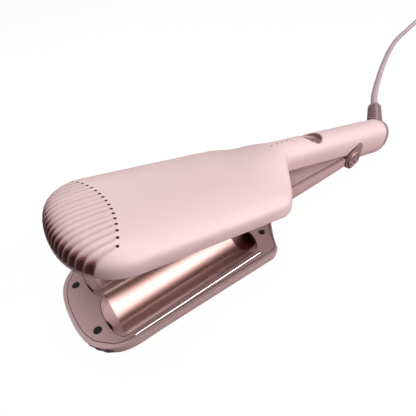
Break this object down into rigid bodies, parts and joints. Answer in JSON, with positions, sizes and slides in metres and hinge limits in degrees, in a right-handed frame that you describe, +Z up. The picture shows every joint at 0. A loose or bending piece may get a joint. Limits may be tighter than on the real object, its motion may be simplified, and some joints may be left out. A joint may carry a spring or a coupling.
{
  "type": "hair waver",
  "caption": "Clamping hair waver with ribbed wide jaws, rose metal wave plates, sprung hinge with lock knob, round slide button, swivel cord, coil and plug.",
  "frame": {"origin": "middle of the flat underside of the lower head, where the object rests on a table", "axes": "+X from the jaws' tip towards the cord, +Z up, +Y towards the far side of the picture, away from the lock knob"},
  "size_m": [0.8569, 0.2634, 0.0892],
  "materials": {
    "shell": "soft matte pale pink moulding",
    "inner": "matte pink moulding, a little deeper than the covers",
    "rose_metal": "satin rose-gold coated plate",
    "polished_strip": "polished rose strip",
    "ceramic": "ceramic heater",
    "clear_plastic": "frosted clear light guide",
    "steel": "plain steel",
    "black_screw": "black oxide screw",
    "board": "green circuit board",
    "black_plastic": "black moulding",
    "taupe": "satin mauve-taupe moulding",
    "taupe_rubber": "soft mauve-taupe strain relief",
    "cord_sheath": "soft pink-mauve cord sheath",
    "plug_metal": "plated pins"
  },
  "bodies": {
    "upper_arm": {"upper_cover": "shell", "upper_frame": "inner", "upper_plate": "rose_metal", "upper_heaters": "ceramic", "upper_heater_clamps": "steel", "upper_thermistor": "ceramic", "thermal_fuse": "steel", "upper_screws": "black_screw", "control_board": "board", "tact_switch": "black_plastic", "light_guide": "clear_plastic", "button_bezel": "inner", "end_cap": "taupe", "cord": "cord_sheath", "cord_coil": "cord_sheath", "plug_body": "taupe", "plug_pins": "plug_metal"},
    "lower_arm": {"lower_cover": "shell", "lower_frame": "inner", "lower_plate": "rose_metal", "lower_edge_rails": "polished_strip", "lower_heater": "ceramic", "lower_heater_clamp": "steel", "lower_thermistor": "ceramic", "lower_screws": "black_screw", "hinge_pin": "steel", "torsion_spring": "steel", "near_hinge_ear": "taupe", "far_hinge_ear": "taupe"},
    "power_button": {"power_button": "inner"},
    "lock_knob": {"lock_knob": "taupe"},
    "cord_swivel": {"strain_relief": "taupe_rubber"}
  },
  "joints": [
    {"name": "jaw_hinge", "type": "hinge", "parent": "upper_arm", "child": "lower_arm", "pos_m": [0.178, 0, 0.03], "axis": [0, 1, 0], "range_deg": [0, 13.2], "stiffness_Nm_per_rad": 0.8, "springref_deg": -28.65, "deforming": ["torsion_spring"]},
    {"name": "power_button_press", "type": "slide", "parent": "upper_arm", "child": "power_button", "axis": [-0.2284, 0, -0.9736], "range_m": [0, 0.0008], "stiffness_N_per_m": 1500, "springref_m": -0.0008},
    {"name": "lock_knob_turn", "type": "hinge", "parent": "lower_arm", "child": "lock_knob", "pos_m": [0.1715, -0.0142, 0.022], "axis": [0, 1, 0], "range_deg": [0, 45]},
    {"name": "cord_swivel_turn", "type": "hinge", "parent": "upper_arm", "child": "cord_swivel", "pos_m": [0.22376, 0, 0.01927], "axis": [0.8179, 0.5749, 0.0217], "continuous": true}
  ]
}
